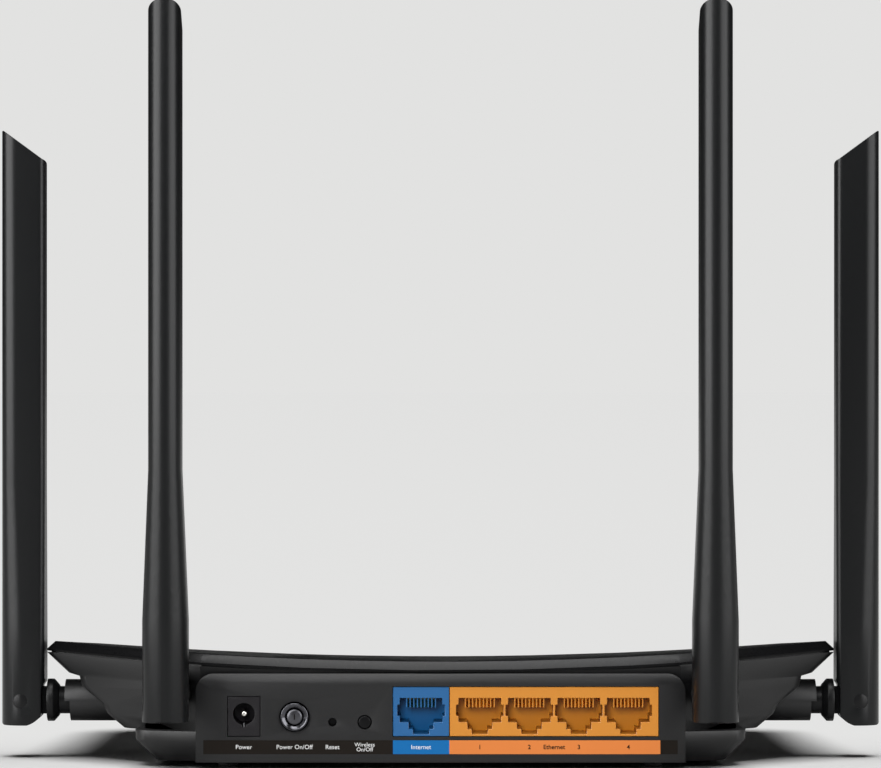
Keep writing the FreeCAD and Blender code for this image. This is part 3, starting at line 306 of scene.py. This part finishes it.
def piece_from(work: bmesh.types.BMesh, name: str, body: str, finish: Finish,
               smooth_angle: float = 35.0) -> bpy.types.Object:
    """Turn a finished bmesh into a piece that rides on a body.

    Args:
        work: the mesh, already in its place; it is freed.
        name: the piece's name.
        body: the CAD body it rides on.
        finish: its finish.
        smooth_angle: edges flatter than this, in degrees, are shaded smooth.

    Returns:
        The new object.
    """
    mesh = bpy.data.meshes.new(name)
    for face in work.faces:
        face.smooth = True
    for edge in work.edges:
        edge.smooth = not (edge.is_manifold and edge.calc_face_angle(0.0) > math.radians(smooth_angle))
    work.to_mesh(mesh)
    work.free()
    mesh.materials.append(finish.value.make())
    piece = bpy.data.objects.new(name, mesh)
    bpy.context.scene.collection.objects.link(piece)
    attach(piece, body)
    LOG.info("%s: %d faces", name, len(mesh.polygons))
    return piece


def softened(node: bpy.types.Object, finish: Finish, radius: float, segments: int = 2,
             sharp: float = 32.0) -> bpy.types.Object:
    """Stand in for a CAD node with a copy whose sharp edges are rounded.

    Args:
        node: the CAD node.
        finish: its finish.
        radius: width of the rounding, in millimetres.
        segments: facets across each rounding.
        sharp: edges sharper than this, in degrees, are rounded.

    Returns:
        The rounded copy, which replaces the node.
    """
    work = bmesh.new()
    work.from_mesh(node.data)
    bmesh.ops.remove_doubles(work, verts=work.verts, dist=2e-6)
    bmesh.ops.dissolve_degenerate(work, dist=2e-6, edges=work.edges)
    bmesh.ops.dissolve_limit(work, angle_limit=math.radians(0.6), verts=work.verts, edges=work.edges,
                             delimit={"NORMAL"})
    edges = [edge for edge in work.edges
             if edge.is_manifold and edge.calc_face_angle(0.0) > math.radians(sharp)]
    bmesh.ops.bevel(work, geom=edges, offset=radius * MM, offset_type="OFFSET", segments=segments, profile=0.5,
                    affect="EDGES", clamp_overlap=True, material=-1, loop_slide=True)
    bmesh.ops.triangulate(work, faces=[face for face in work.faces if len(face.verts) > 4])
    piece = piece_from(work, f"{node.name}_soft", node["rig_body"], finish)
    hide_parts(node.name)
    return piece


def add_block(work: bmesh.types.BMesh, low: Vector, high: Vector) -> None:
    """Add a block between two corners to a bmesh.

    Args:
        work: the mesh that gains the block.
        low: lowest corner, in metres.
        high: highest corner, in metres.
    """
    place = Matrix.Translation((low + high) / 2) @ Matrix.Diagonal((*(high - low), 1.0))
    bmesh.ops.create_cube(work, size=1.0, matrix=place)


def plate(name: str, low: Vector, high: Vector, body: str, finish: Finish,
          round_edges: float = 0.0) -> bpy.types.Object:
    """A small flat plate between two corners, with its edges rounded off.

    Args:
        name: the piece's name.
        low: lowest corner, in metres.
        high: highest corner, in metres.
        body: the CAD body it rides on.
        finish: its finish.
        round_edges: width of the rounding, in millimetres.

    Returns:
        The new piece.
    """
    work = bmesh.new()
    add_block(work, low, high)
    if round_edges:
        bmesh.ops.bevel(work, geom=work.edges[:], offset=round_edges * MM, segments=2, profile=0.5, affect="EDGES",
                        material=-1)
    return piece_from(work, name, body, finish)


def printed_word(text: str, name: str, centre: Vector, size: float, finish: Finish) -> bpy.types.Object:
    """A word printed on the port side, as a very thin raised mesh.

    Args:
        text: the word or number.
        name: the piece's name.
        centre: middle of the word, on the printed face, in metres.
        size: letter size in millimetres.
        finish: the ink.

    Returns:
        The new piece.
    """
    curve = bpy.data.curves.new(name, "FONT")
    curve.body = text
    curve.align_x = "CENTER"
    curve.align_y = "CENTER"
    curve.size = size * MM
    curve.space_line = 0.85
    curve.extrude = 0.01 * MM
    curve.offset = 0.035 * MM if finish is Finish.INK_BLACK else 0.0     # dark ink spreads, pale ink fills in
    curve.resolution_u = 3
    source = bpy.data.objects.new(name + "_source", curve)
    mesh = bpy.data.meshes.new_from_object(source)
    bpy.data.objects.remove(source)
    bpy.data.curves.remove(curve)
    work = bmesh.new()
    work.from_mesh(mesh)
    bpy.data.meshes.remove(mesh)
    bmesh.ops.remove_doubles(work, verts=work.verts, dist=1e-7)
    bmesh.ops.rotate(work, cent=(0, 0, 0), matrix=Matrix.Rotation(math.pi / 2, 3, "X"), verts=work.verts)
    bmesh.ops.translate(work, vec=centre, verts=work.verts)
    return piece_from(work, name, "case", finish)


def middle(node: str) -> Vector:
    """Centre of a CAD node's box."""
    low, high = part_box(node)
    return (low + high) / 2


# ---------------------------------------------------------------- sub-assemblies

@dataclass
class Case:
    """Top cover, bottom shell, feet and screws."""

    nodes: dict
    cover_radius: float = 0.35
    shell_radius: float = 0.22
    foot_radius: float = 0.6

    def build(self) -> None:
        """Round the visible mouldings and dress the rest."""
        softened(self.nodes["top_cover"], Finish.COVER, self.cover_radius)
        softened(self.nodes["bottom_shell"], Finish.SHELL, self.shell_radius)
        softened(self.nodes["rubber_feet"], Finish.RUBBER, self.foot_radius, 3)
        dress(self.nodes, {"case_screws": Finish.ZINC, "rating_label": Finish.LABEL})


@dataclass
class PortStrip:
    """Printed strip under the ports: dark film with a blue and an orange field and generic words."""

    nodes: dict
    field_proud: float = 0.03      # millimetres
    ink_proud: float = 0.05
    letters: float = 1.75
    small_letters: float = 1.6
    lan_block: float = 58.9        # width of the four-port housing
    port_pitch: float = 13.97

    def build(self) -> None:
        """Lay the fields on the strip and print the words."""
        dress(self.nodes, {"port_label_strip": Finish.FILM_DARK})
        low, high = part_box("port_label_strip")
        wan_low, wan_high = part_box("wan_jack_housing")
        lan_low, lan_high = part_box("lan_jack_housing")
        border = (wan_high.x + lan_low.x) / 2
        face = low.y
        self.field("label_field_blue", wan_low.x, border, low, high, Finish.FILM_BLUE)
        self.field("label_field_orange", border, lan_high.x + 0.5 * MM, low, high, Finish.FILM_ORANGE)
        line = (low.z + high.z) / 2
        port = lan_high.x - lan_low.x - (self.lan_block - self.port_pitch) * MM
        first = (lan_low.x + lan_high.x) / 2 - 1.5 * port
        words = [("Power", middle("power_jack_pin").x, self.letters, Finish.INK_WHITE),
                 ("Power On/Off", middle("power_button_cap").x, self.letters, Finish.INK_WHITE),
                 ("Reset", middle("reset_plunger").x, self.letters, Finish.INK_WHITE),
                 ("Wireless\nOn/Off", middle("wireless_button").x, self.small_letters, Finish.INK_WHITE),
                 ("Internet", middle("wan_jack_housing").x, self.letters, Finish.INK_WHITE),
                 ("Ethernet", middle("lan_jack_housing").x, self.letters, Finish.INK_BLACK)]
        words += [(str(number + 1), first + number * port, self.letters, Finish.INK_BLACK) for number in range(4)]
        for text, x, size, ink in words:
            label = "print_" + text.lower().replace("\n", "_").replace("/", "_").replace(" ", "_")
            printed_word(text, label, Vector((x, face - self.ink_proud * MM, line)), size, ink)

    def field(self, name: str, left: float, right: float, low: Vector, high: Vector, finish: Finish) -> None:
        """One coloured field of the strip, just proud of the film."""
        proud = self.field_proud * MM
        plate(name, Vector((left, low.y - proud, low.z)), Vector((right, low.y + proud, high.z)), "case",
              finish)


@dataclass
class Ports:
    """Power inlet and network jacks."""

    nodes: dict
    edge: float = 0.12          # millimetres, as are the sizes below
    spring_row: float = 7.64    # from the first spring's left side to the last one's right side
    spring_wide: float = 0.5
    spring_pitch: float = 1.02
    ribs: int = 9
    rib_thick: float = 0.34
    rib_tall: float = 2.7
    rib_inset: float = 0.4      # behind the springs' mouths
    rib_rise: float = 0.25      # above the springs

    def build(self) -> None:
        """Round the housings' edges and dress the contacts."""
        softened(self.nodes["wan_jack_housing"], Finish.PBT_BLUE, self.edge, 1)
        softened(self.nodes["lan_jack_housing"], Finish.PBT_ORANGE, self.edge, 1)
        softened(self.nodes["power_jack_housing"], Finish.PBT_BLACK, self.edge, 2)
        dress(self.nodes, {"wan_jack_contacts": Finish.GOLD, "lan_jack_contacts": Finish.GOLD,
                           "power_jack_pin": Finish.NICKEL, "power_jack_spring": Finish.SPRING})
        self.comb("wan", Finish.PBT_BLUE, 1)
        self.comb("lan", Finish.PBT_ORANGE, 4)

    def comb(self, family: str, finish: Finish, ports: int) -> None:
        """Thin ribs that stand between the springs of each port.

        Args:
            family: wan or lan.
            finish: the housing's finish.
            ports: how many ports the housing has.
        """
        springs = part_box(f"{family}_jack_contacts")
        pitch = ((springs[1].x - springs[0].x) - self.spring_row * MM) / max(ports - 1, 1)
        first = springs[0].x + self.spring_wide / 2 * MM
        work = bmesh.new()
        for port in range(ports):
            for rib in range(self.ribs):
                x = first + port * pitch + (rib - 0.5) * self.spring_pitch * MM
                half = self.rib_thick / 2 * MM
                low = Vector((x - half, springs[0].y + self.rib_inset * MM, springs[1].z - self.rib_tall * MM))
                high = Vector((x + half, springs[1].y, springs[1].z + self.rib_rise * MM))
                add_block(work, low, high)
        piece_from(work, f"{family}_jack_comb", "case", finish)


@dataclass
class Buttons:
    """Power button, reset plunger and wireless button with the switches behind them."""

    nodes: dict
    rise: float = 0.5        # millimetres; dome of the power button's cap
    steps: int = 8

    def build(self) -> None:
        """Round the button faces and dress the switches."""
        softened(self.nodes["power_button_ring"], Finish.CHROME, 0.25, 3)
        self.domed_cap()
        softened(self.nodes["wireless_button"], Finish.BUTTON, 0.3, 3)
        dress(self.nodes, {"reset_plunger": Finish.BUTTON, "power_switch": Finish.CHIP, "reset_switch": Finish.CHIP,
                           "wireless_switch": Finish.CHIP})

    def domed_cap(self) -> None:
        """The power button's cap, turned with a shallow dome, and the bar marked on it."""
        low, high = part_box("power_button_cap")
        radius = (high.x - low.x) / 2
        work = bmesh.new()
        profile = [(0.0, high.y), (radius, high.y), (radius, low.y + self.rise * MM)]
        profile += [(radius * math.cos(math.pi / 2 * step / self.steps),
                     low.y + self.rise * MM * (1 - math.sin(math.pi / 2 * step / self.steps)))
                    for step in range(1, self.steps + 1)]
        points = [work.verts.new((x, y, 0.0)) for x, y in profile]
        edges = [work.edges.new(pair) for pair in zip(points, points[1:])]
        bmesh.ops.spin(work, geom=points + edges, cent=(0, 0, 0), axis=(0, 1, 0), dvec=(0, 0, 0),
                       angle=2 * math.pi, steps=48, use_merge=True, use_normal_flip=False, use_duplicate=False)
        bmesh.ops.remove_doubles(work, verts=work.verts, dist=1e-6)
        bmesh.ops.recalc_face_normals(work, faces=work.faces)
        centre = middle("power_button_cap")
        bmesh.ops.translate(work, vec=(centre.x, 0, centre.z), verts=work.verts)
        piece = piece_from(work, "power_cap_domed", "power_button", Finish.CAP, 50)
        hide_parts("power_button_cap")
        half = Vector((0.16, 0.1, 0.75)) * MM
        front = Vector((centre.x, low.y, centre.z))
        plate("power_mark", front - half, front + half, "power_button", Finish.INK_BLACK, 0.03)


@dataclass
class Antennas:
    """The four folding antennas."""

    nodes: dict
    blade_radius: float = 0.5
    collar_radius: float = 0.3
    sites: tuple[str, ...] = ("rear_left", "rear_right", "side_left", "side_right")

    def build(self) -> None:
        """Round each blade, collar and pin."""
        for site in self.sites:
            softened(self.nodes[f"antenna_blade_{site}"], Finish.BLADE, self.blade_radius, 3)
            softened(self.nodes[f"antenna_collar_{site}"], Finish.COLLAR, self.collar_radius, 2)
            softened(self.nodes[f"hinge_pin_{site}"], Finish.COLLAR, 0.2, 2)
            dress(self.nodes, {f"antenna_element_{site}": Finish.BRASS, f"antenna_lead_{site}": Finish.JACKET})


@dataclass
class Board:
    """Circuit board and what is soldered to it."""

    nodes: dict

    def build(self) -> None:
        """Dress the inner pieces."""
        dress(self.nodes, {
            "main_board": Finish.MASK, "board_screws": Finish.ZINC, "processor": Finish.CHIP,
            "memory_chips": Finish.CHIP, "lan_transformers": Finish.CHIP, "capacitors": Finish.ALUMINIUM,
            "inductors": Finish.FERRITE, "crystals": Finish.TIN, "heat_sink": Finish.ALUMINIUM,
            "rf_shields": Finish.TIN, "status_lights": Finish.LENS, "light_guide": Finish.CLEAR,
            "antenna_sockets": Finish.GOLD, "antenna_plugs": Finish.BRASS})


def dress(nodes: dict, finishes: dict[str, Finish]) -> None:
    """Give CAD nodes their finishes.

    Args:
        nodes: the frame's nodes by name.
        finishes: node name mapped to its finish.
    """
    for name, finish in finishes.items():
        slots = nodes[name].data.materials
        slots.clear()
        slots.append(finish.value.make())
        LOG.info("%s: %s", name, finish.name.lower())


@dataclass
class Studio:
    """Pale floor, soft lights and a level camera behind the router."""

    distance: float = 1.2          # metres from the port panel
    eye: float = 0.1089            # metres above the desk
    lens: float = 173.83           # millimetres
    floor_half: float = 60.0

    def build(self) -> None:
        """Set the floor, the lights, the surroundings and the camera."""
        router = self.receivers("router_pieces", "")
        sides = self.receivers("pieces_but_cover", "top_cover")     # the glossy cover would mirror the big boxes
        self.floor()
        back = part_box("bottom_shell")[0].y
        self.softbox("left_softbox", sides, (-1.45, back - 0.84, 0.5), (1.7, 1.8), 70).visible_diffuse = False
        self.softbox("right_softbox", sides, (1.45, back - 0.84, 0.5), (1.7, 1.8), 44).visible_diffuse = False
        self.softbox("key_softbox", router, (-0.25, back - 0.8, 1.0), (0.7, 0.5), 5)
        self.softbox("front_softbox", router, (-0.15, back - 1.4, 0.3), (0.3, 0.3), 14).visible_glossy = False
        self.sky_lamp(2.9)
        world = bpy.data.worlds.new("studio")
        bpy.context.scene.world = world
        world.use_nodes = True
        tree = world.node_tree
        tree.nodes.clear()
        ray = add_node(tree, "ShaderNodeLightPath")
        seen = add_node(tree, "ShaderNodeBackground", {"Color": linear("e2e2e1"), "Strength": 1.0})
        fill = add_node(tree, "ShaderNodeBackground", {"Color": linear("ffffff"), "Strength": 0.02})
        mix = add_node(tree, "ShaderNodeMixShader", {0: ray.outputs["Is Camera Ray"], 1: fill.outputs[0],
                                                     2: seen.outputs[0]})
        add_node(tree, "ShaderNodeOutputWorld", {"Surface": mix.outputs[0]})
        bpy.context.scene.view_settings.view_transform = "Standard"
        lens = bpy.data.cameras.new("camera")
        lens.lens = self.lens
        lens.sensor_width = 36.0
        lens.clip_end = 50.0
        camera = bpy.data.objects.new("camera", lens)
        camera.location = (0.0, back - self.distance, self.eye)
        camera.rotation_euler = (math.pi / 2, 0.0, 0.0)
        bpy.context.scene.collection.objects.link(camera)
        bpy.context.scene.camera = camera

    def receivers(self, name: str, left_out: str) -> bpy.types.Collection:
        """The router's pieces as a collection that a light can be limited to.

        Args:
            name: the collection's name.
            left_out: start of the name of the pieces to leave out; empty for none.

        Returns:
            The collection.
        """
        chosen = bpy.data.collections.new(name)
        for piece in bpy.context.scene.objects:
            if piece.type == "MESH" and not (left_out and piece.name.startswith(left_out)):
                chosen.objects.link(piece)
        return chosen

    def floor(self) -> None:
        """A plain pale desk plane."""
        work = bmesh.new()
        bmesh.ops.create_grid(work, x_segments=1, y_segments=1, size=self.floor_half)
        mesh = bpy.data.meshes.new("floor")
        work.to_mesh(mesh)
        work.free()
        material, tree, surface, _ = fresh_material("pale_paint")
        surface.inputs["Base Color"].default_value = linear("efefee")
        surface.inputs["Roughness"].default_value = 0.8
        mesh.materials.append(material)
        floor = bpy.data.objects.new("floor", mesh)
        bpy.context.scene.collection.objects.link(floor)

    def sky_lamp(self, strength: float) -> None:
        """A broad soft light from straight above, which keeps the whole floor evenly pale.

        Args:
            strength: watts per square metre.
        """
        light = bpy.data.lights.new("overhead", "SUN")
        light.energy = strength
        light.angle = math.radians(45)
        lamp = bpy.data.objects.new("overhead", light)
        bpy.context.scene.collection.objects.link(lamp)

    def softbox(self, name: str, lit: bpy.types.Collection, place: tuple[float, float, float],
                size: tuple[float, float], power: float) -> bpy.types.Object:
        """An area light that faces the router and lights nothing else.

        Args:
            name: the light's name.
            lit: the only pieces that it lights.
            place: its centre, in metres.
            size: its width and height, in metres.
            power: watts.

        Returns:
            The light.
        """
        light = bpy.data.lights.new(name, "AREA")
        light.shape = "RECTANGLE"
        light.size, light.size_y = size
        light.energy = power
        lamp = bpy.data.objects.new(name, light)
        lamp.location = place
        lamp.light_linking.receiver_collection = lit
        aim = Vector((0, 0, 0.1)) - Vector(place)
        lamp.rotation_euler = aim.to_track_quat("-Z", "Y").to_euler()
        bpy.context.scene.collection.objects.link(lamp)
        return lamp


def main() -> None:
    """Build the router's looks in order."""
    logging.basicConfig(level=logging.INFO, format="%(name)s %(message)s")
    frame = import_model()
    nodes = frame["nodes"]
    for part in (Case(nodes), PortStrip(nodes), Ports(nodes), Buttons(nodes), Antennas(nodes), Board(nodes)):
        part.build()
    Studio().build()


if __name__ == "__main__":
    main()
